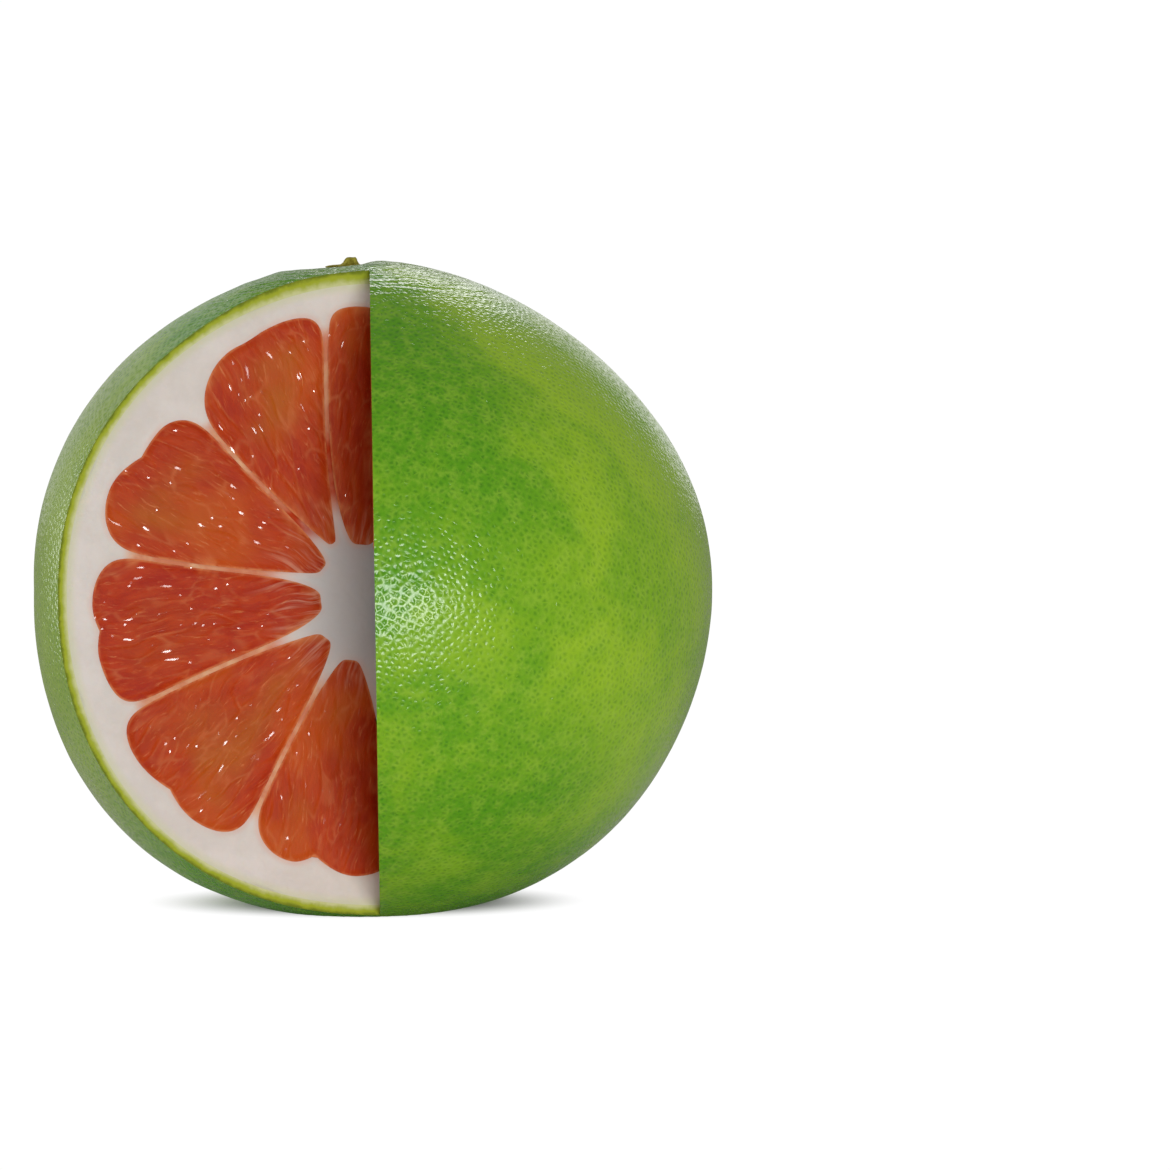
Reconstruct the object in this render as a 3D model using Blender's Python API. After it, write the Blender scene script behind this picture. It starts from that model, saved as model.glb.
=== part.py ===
"""A red-fleshed pomelo with its front left quarter cut away, standing on a small flat spot.

The fruit is about its centre, in metres: +X to the right, +Y to the back and +Z up. The
segments lie side by side round a core that runs from front to back. Angles round the core
are in degrees left of straight up, as seen from the front.
"""

import math
from collections import namedtuple

import bmesh
import bpy
from mathutils import Matrix, Vector

MM = 0.001

# The whole fruit
WIDTH = 160.0 * MM
DEPTH = 158.0 * MM
HEIGHT = 153.4 * MM
FLAT_RISE = 1.4 * MM

# How the outside departs from an ellipsoid at mid latitudes
FULLNESS = 0.7 * MM
BASE_FULLNESS = 2.9 * MM
LEFT_FULLNESS = 1.41 * MM
UPPER_LEFT_FULLNESS = 0.59 * MM
LOWER_FRONT_FLATNESS = 3.0 * MM

# The two cuts: one face across the segments, and the seam where the uncut part begins
FACE_YAW = math.radians(10.0)
FACE_OFFSET = 21.0 * MM
SEAM_TILT = math.radians(0.8)
SEAM_X = 0.2 * MM

# The layers
SKIN_THICKNESS = 1.8 * MM
MEMBRANE = 0.8 * MM
GAP = 0.3 * MM

# The segments
CORE = Vector((-3.8 * MM, 0.0, -0.9 * MM))
SEGMENT_REACH = 63.0 * MM
BEND_RADIUS = 62.0 * MM
BEND_END = 12.0 * MM
OUTER_CORNER = 9.0
INNER_CORNER = 4.0

# The stem button
BUTTON_PLACE = (-5.6 * MM, 4.5 * MM)
BUTTON_RADIUS = 3.4 * MM
BUTTON_RIM = 0.5 * MM
BUTTON_DOME = 0.7 * MM
BUTTON_STUB = 1.0 * MM
BUTTON_STUB_SHARE = 0.5
BUTTON_LOBES = 5
BUTTON_LOBE_DEPTH = 0.14

# Mesh fineness
MERIDIANS = 48
PARALLELS = 28
STATIONS = 13
OUTER_STEPS = 15
SIDE_HEIGHTS = (0.6, 0.2, -0.2, -0.6)
INNER_STEPS = 5

CENTRE_HEIGHT = HEIGHT / 2 - FLAT_RISE / 2
HALF_HEIGHT = HEIGHT - CENTRE_HEIGHT

# The membranes between the segments: the angle at the rind, the angle at the core, and how
# late on its way in each one bends from the first to the second
Membrane = namedtuple("Membrane", "rind core lateness")
MEMBRANES = (
    Membrane(-28.0, -25.0, 4.0),
    Membrane(6.7, 16.0, 1.3),
    Membrane(41.0, 33.0, 4.0),
    Membrane(79.0, 70.0, 4.0),
    Membrane(116.0, 124.0, 4.0),
    Membrane(154.5, 160.0, 4.0),
    Membrane(190.0, 188.0, 4.0),
)

# A segment lies between two membranes. It has an inner tip and an outer edge with two crowns
# and a notch between them, as angles and millimetres, and the edge drops from each crown to
# its corner by a share of the crown's radius.
Segment = namedtuple("Segment", "first second tip crowns notch drops")
SHAPES = (
    (12.3, ((-20.0, 65.7), (1.0, 66.9)), (-10.0, 65.0), (0.05, 0.00)),
    (13.8, ((12.0, 65.7), (25.0, 63.8)), (19.5, 64.8), (0.00, 0.15)),
    (10.6, ((49.5, 59.3), (65.7, 61.7)), (56.5, 58.9), (0.06, 0.09)),
    (8.7, ((91.0, 60.4), (103.0, 60.4)), (97.0, 59.2), (0.06, 0.03)),
    (12.2, ((127.0, 62.5), (144.0, 63.4)), (135.5, 61.4), (0.04, 0.04)),
    (15.0, ((165.5, 62.9), (180.0, 64.8)), (170.5, 60.6), (0.09, 0.05)),
)
SEGMENTS = [Segment(*sides, *shape) for sides, shape in zip(zip(MEMBRANES, MEMBRANES[1:]), SHAPES)]

SKIN_COLOUR = (0.15, 0.31, 0.05)
PITH_COLOUR = (0.78, 0.72, 0.62)
PULP_COLOUR = (0.50, 0.08, 0.03)
STEM_COLOUR = (0.36, 0.31, 0.08)


def blend(low, high, share):
    return low + (high - low) * share


def fruit_radius(direction):
    """Distance from the centre to the outside, before the flat spot is pressed in."""
    x, y, z = direction
    ellipsoid = 1 / math.sqrt((2 * x / WIDTH) ** 2 + (2 * y / DEPTH) ** 2 + (z / HALF_HEIGHT) ** 2)
    level = math.sqrt(max(1 - z * z, 1e-9))
    mid_latitude = (2 * z * level) ** 2
    bulge = FULLNESS - BASE_FULLNESS * z
    bulge -= (LEFT_FULLNESS + UPPER_LEFT_FULLNESS * z) * x / level
    bulge -= LOWER_FRONT_FLATNESS * (1 - z) / 2 * max(-y / level, 0)
    return ellipsoid + mid_latitude * bulge


def on_fruit(direction, depth):
    """The point that lies a depth below the outside, with the flat spot at the bottom."""
    radius = fruit_radius(direction) - depth
    if direction.z < 0:
        radius = min(radius, (CENTRE_HEIGHT - depth) / -direction.z)
    return direction * radius


def face_plane_y(x):
    return x * math.tan(FACE_YAW) - FACE_OFFSET / math.cos(FACE_YAW)


def add_object(name, mesh, collection):
    piece = bpy.data.objects.new(name, mesh)
    piece.location = (0, 0, CENTRE_HEIGHT)
    collection.objects.link(piece)
    return piece


def mesh_from(name, shape):
    """Turns a finished bmesh into a mesh with its faces pointing out and shaded smooth."""
    bmesh.ops.recalc_face_normals(shape, faces=shape.faces)
    mesh = bpy.data.meshes.new(name)
    shape.to_mesh(mesh)
    shape.free()
    mesh.shade_smooth()
    mesh.set_sharp_from_angle(angle=math.radians(35))
    return mesh


def add_cutter(name, mesh, collection):
    cutter = add_object(name, mesh, collection)
    cutter.hide_render = True
    cutter.display_type = "WIRE"
    return cutter


def cut(piece, cutter):
    boolean = piece.modifiers.new("cut_" + cutter.name, "BOOLEAN")
    boolean.operation = "DIFFERENCE"
    boolean.solver = "EXACT"
    boolean.object = cutter


def material(name, colour, roughness):
    made = bpy.data.materials.new(name)
    made.use_nodes = True
    shader = made.node_tree.nodes["Principled BSDF"]
    shader.inputs["Base Color"].default_value = (*colour, 1)
    shader.inputs["Roughness"].default_value = roughness
    shader.inputs["Metallic"].default_value = 0
    return made


def fruit_mesh(name, depth):
    """A closed fruit whose surface lies a depth below the outside."""
    shape = bmesh.new()
    bmesh.ops.create_uvsphere(shape, u_segments=MERIDIANS, v_segments=PARALLELS, radius=1)
    half_step = Matrix.Rotation(math.pi / MERIDIANS, 3, "Z")
    for vertex in shape.verts:
        vertex.co = on_fruit((half_step @ vertex.co).normalized(), depth)
    return mesh_from(name, shape)


def quarter_mesh():
    """The quarter that is taken away: a box whose right and back faces lie on the two cuts."""
    reach = WIDTH
    shape = bmesh.new()
    bmesh.ops.create_cube(shape, size=2 * reach, matrix=Matrix.Translation((-reach, -reach, 0)))
    for vertex in shape.verts:
        vertex.co.x += SEAM_X - vertex.co.z * math.tan(SEAM_TILT)
        vertex.co.y += face_plane_y(vertex.co.x)
    return mesh_from("quarter", shape)


def edge_radius(segment, angle):
    """Radius of a segment's outer edge on the cut face, at an angle round the core."""
    (first_angle, first), (second_angle, second) = segment.crowns
    notch_angle, notch = segment.notch
    if angle <= first_angle:
        reach = (first_angle - angle) / (first_angle - segment.first.rind)
        return first * (1 - segment.drops[0] * reach ** 2) * MM
    if angle >= second_angle:
        reach = (angle - second_angle) / (segment.second.rind - second_angle)
        return second * (1 - segment.drops[1] * reach ** 2) * MM
    crown_angle, crown = (first_angle, first) if angle < notch_angle else (second_angle, second)
    reach = (angle - notch_angle) / (crown_angle - notch_angle)
    return blend(notch, crown, math.sin(reach * math.pi / 2)) * MM


def rounded_square():
    """A loop of (across, out) places from -1 to 1, with tight outer and soft inner corners."""
    def run(steps, power):
        for step in range(steps):
            across = math.sin(math.pi / 2 * (2 * (step + 0.5) / steps - 1))
            yield across, (1 - abs(across) ** power) ** (1 / power)

    def side(out):
        power = OUTER_CORNER if out > 0 else INNER_CORNER
        return (1 - abs(out) ** power) ** (1 / power)

    loop = list(run(OUTER_STEPS, OUTER_CORNER))
    loop += [(side(out), out) for out in SIDE_HEIGHTS]
    loop += [(-across, -out) for across, out in run(INNER_STEPS, INNER_CORNER)]
    loop += [(-side(out), out) for out in reversed(SIDE_HEIGHTS)]
    return loop


def membrane_angle(membrane, radius):
    """A membrane's angle round the core, at a distance from it."""
    way_in = max(BEND_RADIUS - radius, 0) / (BEND_RADIUS - BEND_END)
    return blend(membrane.rind, membrane.core, way_in ** membrane.lateness)


def segment_point(segment, across, out, station, swell):
    """A point of a segment at a station from -90 to 90 degrees along the core."""
    angle = blend(segment.first.rind, segment.second.rind, (across + 1) / 2)
    edge = edge_radius(segment, angle)
    face_y = face_plane_y(CORE.x - edge * math.sin(math.radians(angle)))
    face_size = math.sqrt(1 - (face_y / SEGMENT_REACH) ** 2)
    tip = segment.tip * MM
    size = math.cos(math.radians(station))
    furthest = tip + (edge - tip) * size / face_size
    radius = blend(tip - swell, furthest + swell, (out + 1) / 2)
    margin = math.degrees((MEMBRANE / 2 + GAP - swell) / radius)
    start = membrane_angle(segment.first, radius) + margin
    end = membrane_angle(segment.second, radius) - margin
    turn = math.radians(blend(start, end, (across + 1) / 2))
    along = (SEGMENT_REACH + swell) * math.sin(math.radians(station))
    return CORE + Vector((-radius * math.sin(turn), along, radius * math.cos(turn)))


def segment_mesh(name, segment, swell):
    """A crescent: rounded wedge sections in a row from front to back, closed at two points."""
    shape = bmesh.new()
    rings = []
    for step in range(1, STATIONS):
        station = blend(-90, 90, step / STATIONS)
        rings.append([shape.verts.new(segment_point(segment, across, out, station, swell))
                      for across, out in rounded_square()])
    for near, far in zip(rings, rings[1:]):
        for here in range(len(near)):
            shape.faces.new((near[here - 1], near[here], far[here], far[here - 1]))
    for ring, station in ((rings[0], -90), (rings[-1], 90)):
        point = shape.verts.new(segment_point(segment, 0, 0, station, swell))
        for here in range(len(ring)):
            shape.faces.new((ring[here - 1], ring[here], point))
    return mesh_from(name, shape)


def button_mesh():
    """The stem button: a low lobed calyx with the stub of the stalk, set on the skin."""
    shape = bmesh.new()
    bmesh.ops.create_uvsphere(shape, u_segments=3 * BUTTON_LOBES, v_segments=10, radius=1)
    for vertex in shape.verts:
        x, y, z = vertex.co
        out = min(math.hypot(x, y), 1)
        lobes = 1 + BUTTON_LOBE_DEPTH * math.cos(BUTTON_LOBES * math.atan2(y, x)) * out
        height = GAP + BUTTON_RIM * (1 + min(z, 0))
        if z > 0:
            stub = max(1 - out / BUTTON_STUB_SHARE, 0)
            height += BUTTON_DOME * (1 - out ** 2) + BUTTON_STUB * math.sqrt(stub)
        place = Vector((BUTTON_PLACE[0] + x * BUTTON_RADIUS * lobes,
                        BUTTON_PLACE[1] + y * BUTTON_RADIUS * lobes, HALF_HEIGHT))
        vertex.co = on_fruit(place.normalized(), -height)
    return mesh_from("stem_button", shape)


def build():
    for old in list(bpy.data.objects):
        bpy.data.objects.remove(old, do_unlink=True)
    parts = bpy.data.collections.new("pomelo")
    cutters = bpy.data.collections.new("pomelo_cutters")
    bpy.context.scene.collection.children.link(parts)
    bpy.context.scene.collection.children.link(cutters)

    quarter = add_cutter("quarter", quarter_mesh(), cutters)
    inside = add_cutter("inside", fruit_mesh("inside", SKIN_THICKNESS), cutters)

    skin = add_object("skin", fruit_mesh("skin", 0), parts)
    skin.data.materials.append(material("skin", SKIN_COLOUR, 0.35))
    cut(skin, inside)
    cut(skin, quarter)

    pith = add_object("pith", fruit_mesh("pith", SKIN_THICKNESS + GAP), parts)
    pith.data.materials.append(material("pith", PITH_COLOUR, 0.8))
    cut(pith, quarter)

    pulp = material("pulp", PULP_COLOUR, 0.3)
    for number, segment in enumerate(SEGMENTS, start=1):
        name = f"segment_{number}"
        piece = add_object(name, segment_mesh(name, segment, 0), parts)
        piece.data.materials.append(pulp)
        cut(piece, quarter)
        pocket_name = f"pocket_{number}"
        cut(pith, add_cutter(pocket_name, segment_mesh(pocket_name, segment, GAP), cutters))

    button = add_object("stem_button", button_mesh(), parts)
    button.data.materials.append(material("stem", STEM_COLOUR, 0.7))


build()
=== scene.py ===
"""The looks of a cut pomelo: dimpled rind, spongy pith and wet pulp, on a white studio floor."""

import functools
import math

import bmesh
import bpy
import numpy as np
from mathutils import Matrix, Vector, geometry, kdtree


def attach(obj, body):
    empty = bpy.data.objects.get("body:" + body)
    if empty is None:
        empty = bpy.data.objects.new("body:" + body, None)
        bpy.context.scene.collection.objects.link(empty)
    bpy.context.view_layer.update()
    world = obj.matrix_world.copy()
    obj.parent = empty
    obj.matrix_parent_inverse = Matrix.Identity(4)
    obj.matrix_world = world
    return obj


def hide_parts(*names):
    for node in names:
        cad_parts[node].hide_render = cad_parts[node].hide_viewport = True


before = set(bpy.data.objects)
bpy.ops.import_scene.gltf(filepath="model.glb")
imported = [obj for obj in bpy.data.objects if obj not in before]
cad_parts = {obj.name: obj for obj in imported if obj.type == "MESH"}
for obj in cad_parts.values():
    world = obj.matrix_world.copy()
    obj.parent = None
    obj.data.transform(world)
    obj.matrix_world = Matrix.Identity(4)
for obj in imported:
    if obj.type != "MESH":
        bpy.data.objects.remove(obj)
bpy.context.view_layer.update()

MM = 0.001

# The fruit's form, as in its solids
WIDTH = 160.0 * MM
DEPTH = 158.0 * MM
HEIGHT = 153.4 * MM
FLAT_RISE = 1.4 * MM
FULLNESS = 0.7 * MM
BASE_FULLNESS = 2.9 * MM
LEFT_FULLNESS = 1.41 * MM
UPPER_LEFT_FULLNESS = 0.59 * MM
LOWER_FRONT_FLATNESS = 3.0 * MM
UPPER_RIGHT_FULLNESS = 0.9 * MM
SHOULDER = 1.25
CENTRE_HEIGHT = HEIGHT / 2 - FLAT_RISE / 2
HALF_HEIGHT = HEIGHT - CENTRE_HEIGHT
CENTRE = np.array((0.0, 0.0, CENTRE_HEIGHT))

# The two cuts
FACE_YAW = math.radians(10.0)
FACE_OFFSET = 21.0 * MM
SEAM_TILT = math.radians(0.8)
SEAM_X = 0.2 * MM

# The segments, as in the solids
CORE = np.array((-3.8, 0.0, -0.9)) * MM
SEGMENT_REACH = 63.0 * MM
MEMBRANE = 0.8 * MM
GAP = 0.3 * MM
BEND_RADIUS = 62.0 * MM
BEND_END = 12.0 * MM
OUTER_CORNER = 9.0
INNER_CORNER = 4.0
MEMBRANES = (
    (-28.0, -25.0, 4.0),
    (6.7, 16.0, 1.3),
    (41.0, 33.0, 4.0),
    (79.0, 70.0, 4.0),
    (116.0, 124.0, 4.0),
    (154.5, 160.0, 4.0),
    (190.0, 188.0, 4.0),
)
SHAPES = (
    (12.3, ((-20.0, 65.7), (1.0, 66.9)), (-10.0, 65.0), (0.05, 0.00)),
    (13.8, ((12.0, 65.7), (25.0, 63.8)), (19.5, 64.8), (0.00, 0.15)),
    (10.6, ((49.5, 59.3), (65.7, 61.7)), (56.5, 58.9), (0.06, 0.09)),
    (8.7, ((91.0, 60.4), (103.0, 60.4)), (97.0, 59.2), (0.06, 0.03)),
    (12.2, ((127.0, 62.5), (144.0, 63.4)), (135.5, 61.4), (0.04, 0.04)),
    (15.0, ((165.5, 62.9), (180.0, 64.8)), (170.5, 60.6), (0.09, 0.05)),
)
SEGMENTS = list(zip(MEMBRANES, MEMBRANES[1:], SHAPES))

# Where rind and pith meet, in the middle of the gap between their solids
RIND_DEPTH = 1.95 * MM

# How far the pulp's outlines swell into the gap round them, and the steps that they are found in
PULP_SWELL = 0.22 * MM
SECTION_STEPS = 1200
STATION_STEPS = 540

# How orange and ochre each segment is
WARMTH = (1.2, 1.0, 1.0, 0.15, 0.9, 1.5)

# The juice sacs: length, width and how much they lean, and how their places are bent
SAC_LENGTH = 9.0 * MM
SAC_WIDTH = 2.7 * MM
SAC_LEAN = 0.22
SAC_WARP = np.array((2.0, 1.1)) * MM

# The pulp's relief: its own rise at the edge, the sacs' domes and their differences, and lumps
PULP_RISE = 0.22 * MM
SAC_DOME = 0.10 * MM
SAC_CHANGE = 0.22 * MM
PULP_LUMP = 0.16 * MM

# The pith's relief, and the ridges that the membranes make on it
SPONGE = 0.09 * MM
PITH_LUMP = 0.12 * MM
MEMBRANE_RIDGE = 0.30 * MM

# Where juice hides the membranes on the front cut: angles, and distances from the core
STAINED = (
    (0.0, 27.0, 20.0 * MM, 38.0 * MM),
    (27.0, 52.0, 12.0 * MM, 28.0 * MM),
)

# Where the stem grew, seen from above, and how far its top stands below the plain form there
STEM_PLACE = (-5.6 * MM, 4.5 * MM)
STEM_DROP = 1.425 * MM

# The shallow dip of the rind round the stem: its reach to the left, to the right and to the back
DIP_PLACE = (-7.0 * MM, 4.5 * MM)
DIP_REACH = (17.0 * MM, 10.5 * MM, 32.0 * MM)
DIP = 1.5 * MM

# How far the rind rises over the front cut's upper half, and its share of that in the lower half
BROW = 1.1 * MM
LOWER_BROW = -0.3

# How far the face along the seam has dried in
SEAM_SINK = 0.6 * MM

# The rind's lumps: height, size, seed and octaves, and how far it is set in under them
RIND_LUMPS = (
    (0.06 * MM, 9.0 * MM, 5, 2),
    (0.16 * MM, 26.0 * MM, 6, 1),
)
RIND_DROP = 0.12 * MM

# The folds that run out from the stem: heights, length, how closely they follow each other round
# the stem, and where they begin and end to fade
FOLDS = (0.20 * MM, 0.10 * MM)
FOLD_LENGTH = 5.5 * MM
FOLD_TURNS = 1.5
FOLD_REACH = (14.0 * MM, 52.0 * MM)

# The oil glands of the rind
GLANDS = 36200
GLAND_JITTER = 0.0042
GLAND_PIT = 0.055 * MM

# Farther away, in metres, than any point of the fruit
FAR = 9

# Fineness of the cut faces, and how their inner points are spread and kept off the outlines
PULP_GRAIN = 0.27 * MM
PITH_GRAIN = 0.36 * MM
RIM_GRAIN = 0.5 * MM
POINT_SPREAD = 0.16
POINT_CLEARANCE = 0.62

# How near to a cut's plane a point counts as on it, and the kind of filling with openings
ON_PLANE = 0.02 * MM
INSIDE_WITH_HOLES = 2


class Cut:
    """A cutting plane with its own right and up directions, about the fruit's centre."""

    def __init__(self, name, normal, offset, right, up):
        self.name = name
        self.normal, self.right, self.up = (np.array(way, float) for way in (normal, right, up))
        self.offset = offset

    def height(self, points):
        return np.asarray(points) @ self.normal - self.offset

    def flat(self, points):
        return np.stack((np.asarray(points) @ self.right, np.asarray(points) @ self.up), -1)

    def place(self, flat):
        flat = np.asarray(flat)
        return self.normal * self.offset + flat[..., :1] * self.right + flat[..., 1:] * self.up


FACE = Cut(
    "face",
    (math.sin(FACE_YAW), -math.cos(FACE_YAW), 0),
    FACE_OFFSET,
    (math.cos(FACE_YAW), math.sin(FACE_YAW), 0),
    (0, 0, 1),
)
SEAM = Cut(
    "seam",
    (-math.cos(SEAM_TILT), 0, -math.sin(SEAM_TILT)),
    -SEAM_X * math.cos(SEAM_TILT),
    (0, -1, 0),
    (-math.sin(SEAM_TILT), 0, math.cos(SEAM_TILT)),
)


def seam_x(z):
    return SEAM_X - z * math.tan(SEAM_TILT)


def face_y(x):
    return x * math.tan(FACE_YAW) - FACE_OFFSET / math.cos(FACE_YAW)


def smooth(low, high, value):
    share = np.clip((value - low) / (high - low), 0, 1)
    return share * share * (3 - 2 * share)


def blend(low, high, share):
    return low + (high - low) * share


def lattice(cells, seed):
    """A fixed random number from 0 to 1 for each whole-number cell."""
    mixed = cells.astype(np.int64) @ np.array((374761393, 668265263, 2147483647), np.int64)
    mixed = (mixed + seed * 974634777) & 0xFFFFFFFF
    mixed = ((mixed ^ (mixed >> 15)) * 2246822519) & 0xFFFFFFFF
    mixed = ((mixed ^ (mixed >> 13)) * 3266489917) & 0xFFFFFFFF
    return ((mixed ^ (mixed >> 16)) & 0xFFFFFF) / 0xFFFFFF


def noise(points, size, seed=0, octaves=1):
    """Smooth noise from -1 to 1 whose lumps have the given size."""
    total = 0
    for octave in range(octaves):
        scaled = points / size * 2 ** octave
        cell = np.floor(scaled)
        inside = scaled - cell
        inside = inside * inside * (3 - 2 * inside)
        value = 0
        for corner in np.ndindex(2, 2, 2):
            corner = np.array(corner)
            weight = np.prod(np.where(corner, inside, 1 - inside), -1)
            value = value + weight * lattice(cell + corner, seed + 17 * octave)
        total = total + (2 * value - 1) / 2 ** octave
    return total


def unit(vectors):
    return vectors / np.linalg.norm(vectors, axis=-1, keepdims=True)


def fruit_radius(directions):
    x, y, z = directions[..., 0], directions[..., 1], directions[..., 2]
    ellipsoid = 1 / np.sqrt((2 * x / WIDTH) ** 2 + (2 * y / DEPTH) ** 2 + (z / HALF_HEIGHT) ** 2)
    level = np.sqrt(np.maximum(1 - z * z, 1e-9))
    bulge = FULLNESS - BASE_FULLNESS * z
    bulge = bulge - (LEFT_FULLNESS + UPPER_LEFT_FULLNESS * z) * x / level
    bulge = bulge - LOWER_FRONT_FLATNESS * (1 - z) / 2 * np.maximum(-y / level, 0)
    bulge = bulge + UPPER_RIGHT_FULLNESS * np.maximum(z, 0) * np.maximum(x / level, 0)
    return ellipsoid + abs(2 * z * level) ** SHOULDER * bulge


def rind_distance(directions, depth):
    """Distance from the centre to the place a depth below the outside, with the flat spot."""
    floor = (CENTRE_HEIGHT - depth) / np.maximum(-directions[..., 2], 1e-6)
    return np.minimum(fruit_radius(directions) - depth, floor)


def depth_of(points):
    """How far points lie below the outside, along their line to the centre."""
    return rind_distance(unit(points), 0) - np.linalg.norm(points, axis=-1)


def edge_radius(segment, angle):
    first, second, (tip, crowns, notch, drops) = segment
    (first_angle, first_crown), (second_angle, second_crown) = crowns
    to_first = np.clip((first_angle - angle) / (first_angle - first[0]), 0, 1)
    to_second = np.clip((angle - second_angle) / (second[0] - second_angle), 0, 1)
    before = angle < notch[0]
    crown_angle = np.where(before, first_angle, second_angle)
    crown = np.where(before, first_crown, second_crown)
    reach = np.clip((angle - notch[0]) / (crown_angle - notch[0]), 0, 1)
    middle = blend(notch[1], crown, np.sin(reach * math.pi / 2))
    return middle * (1 - drops[0] * to_first ** 2) * (1 - drops[1] * to_second ** 2) * MM


def membrane_angle(membrane, radius):
    rind, core, lateness = membrane
    way_in = np.maximum(BEND_RADIUS - radius, 0) / (BEND_RADIUS - BEND_END)
    return blend(rind, core, way_in ** lateness)


def segment_points(segment, across, out, station, swell):
    """Points of a segment: across and out from -1 to 1, station from -90 to 90 along the core."""
    first, second, shape = segment
    share = (across + 1) / 2
    angle = blend(first[0], second[0], share)
    edge = edge_radius(segment, angle)
    face_size = np.sqrt(1 - (face_y(CORE[0] - edge * np.sin(np.radians(angle))) / SEGMENT_REACH) ** 2)
    tip = shape[0] * MM
    furthest = tip + (edge - tip) * np.cos(np.radians(station)) / face_size
    radius = blend(tip - swell, furthest + swell, (out + 1) / 2)
    margin = np.degrees((MEMBRANE / 2 + GAP - swell) / radius)
    start = membrane_angle(first, radius) + margin
    end = membrane_angle(second, radius) - margin
    turn = np.radians(blend(start, end, share))
    along = (SEGMENT_REACH + swell) * np.sin(np.radians(station)) + 0 * turn
    return CORE + np.stack((-radius * np.sin(turn), along, radius * np.cos(turn)), -1)


def rounded_square(steps):
    """Places round the edge of a segment's section, close together at its corners."""
    turn = np.linspace(0, 2 * math.pi, steps, endpoint=False)
    across, out = np.cos(turn), np.sin(turn)
    longest = np.maximum(abs(across), abs(out))
    across, out = across / longest, out / longest
    power = np.where(out > 0, OUTER_CORNER, INNER_CORNER)
    size = (abs(across) ** power + abs(out) ** power) ** (1 / power)
    return across / size, out / size


def section(segment, cut):
    """Points where a cut crosses the outside of a segment."""
    across, out = rounded_square(SECTION_STEPS)
    station = np.linspace(-89.5, 89.5, STATION_STEPS)[:, None]
    grid = segment_points(segment, across[None], out[None], station, PULP_SWELL)
    found = []
    for near, far in ((grid, np.roll(grid, 1, 1)), (grid[:-1], grid[1:])):
        low, high = cut.height(near), cut.height(far)
        crossing = low * high < 0
        share = (low / (low - high + 1e-12))[crossing][:, None]
        found.append(blend(near[crossing], far[crossing], share))
    return np.concatenate(found)


def tree_of(points):
    tree = kdtree.KDTree(len(points))
    for number, point in enumerate(points):
        tree.insert(point, number)
    tree.balance()
    return tree


def nearest(tree, points):
    """Nearest stored point and its distance, for each of the points."""
    found = [tree.find(point) for point in points]
    return np.array([place for place, _, _ in found]), np.array([distance for _, _, distance in found])


SECTIONS = {
    cut.name: [section(segment, cut) for segment in SEGMENTS]
    for cut in (FACE, SEAM)
}


OUTLINE_TREES = {
    name: [tree_of(points) for points in outlines if len(points)]
    for name, outlines in SECTIONS.items()
}


def other_than(cut):
    return SEAM if cut is FACE else FACE


def on_cut(points, cut):
    """Which points lie on a cut, as far as it bounds the quarter that is gone."""
    return (abs(cut.height(points)) < ON_PLANE) & (other_than(cut).height(points) > -ON_PLANE)


def on_both(point):
    return abs(FACE.height(point)) < ON_PLANE and abs(SEAM.height(point)) < ON_PLANE


def remains(points, room):
    """Whether points lie outside the quarter that is cut away."""
    return (FACE.height(points) <= room) | (SEAM.height(points) <= room)


# Meshes

def coordinates(vertices):
    return np.array([vertex.co for vertex in vertices])


def middle_of(face):
    return np.array(face.calc_center_median())


def node_bmesh(node):
    """A copy of a solid's mesh about the fruit's centre."""
    shape = bmesh.new()
    shape.from_mesh(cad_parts[node].data)
    shape.transform(Matrix.Translation(-Vector(CENTRE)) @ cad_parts[node].matrix_world)
    bmesh.ops.remove_doubles(shape, verts=shape.verts, dist=0.001 * MM)
    return shape


def lies_on(cut, parts):
    return bool(on_cut(coordinates(parts), cut).all())


def open_cut_faces(shape):
    """Takes the flat cut faces away and keeps the edges round them."""
    sides = {}
    for cut in (FACE, SEAM):
        for face in shape.faces:
            if lies_on(cut, face.verts):
                sides[face] = cut
    inner = []
    for edge in shape.edges:
        cuts = [sides.get(face) for face in edge.link_faces]
        if len(cuts) == 2 and cuts[0] is not None and cuts[0] is cuts[1]:
            inner.append(edge)
    bmesh.ops.delete(shape, geom=list(sides), context="FACES_ONLY")
    bmesh.ops.delete(shape, geom=inner, context="EDGES")
    loose = [vertex for vertex in shape.verts if not vertex.link_edges]
    bmesh.ops.delete(shape, geom=loose, context="VERTS")


def cut_edges(shape, cut):
    """The open edges round a cut's face."""
    return [
        edge for edge in shape.edges
        if len(edge.link_faces) <= 1 and lies_on(cut, edge.verts)
    ]


def vertices_of(parts):
    """The vertices of edges or faces, each once and always in the same order."""
    return list(dict.fromkeys(vertex for part in parts for vertex in part.verts))


def split_edges(shape, edges, length):
    """Splits long edges into steps no longer than a length."""
    by_count = {}
    for edge in edges:
        by_count.setdefault(math.ceil(edge.calc_length() / length) - 1, []).append(edge)
    for count, group in by_count.items():
        if count > 0:
            bmesh.ops.subdivide_edges(shape, edges=group, cuts=count)
    crowded = [
        face for face in shape.faces
        if len(face.verts) > 3 and any(len(edge.link_faces) == 1 for edge in face.edges)
    ]
    bmesh.ops.poke(shape, faces=crowded)


def snap_to_rind(point, cut):
    """Moves a point within its cut to where rind and pith meet."""
    foot = cut.normal * cut.offset
    for _ in range(4):
        way = unit(point - foot)
        point = point + way * (depth_of(point) - RIND_DEPTH)
    return point


def slide_onto(tree, point):
    """The place nearest to a point on the line through the stored points beside it."""
    beside = [np.array(place) for place, _, _ in tree.find_n(point, 5)]
    first = beside[0]
    last = max(beside[1:], key=lambda place: np.linalg.norm(place - first))
    along = last - first
    return first + along * np.clip((point - first) @ along / (along @ along), -0.6, 0.6)


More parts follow.
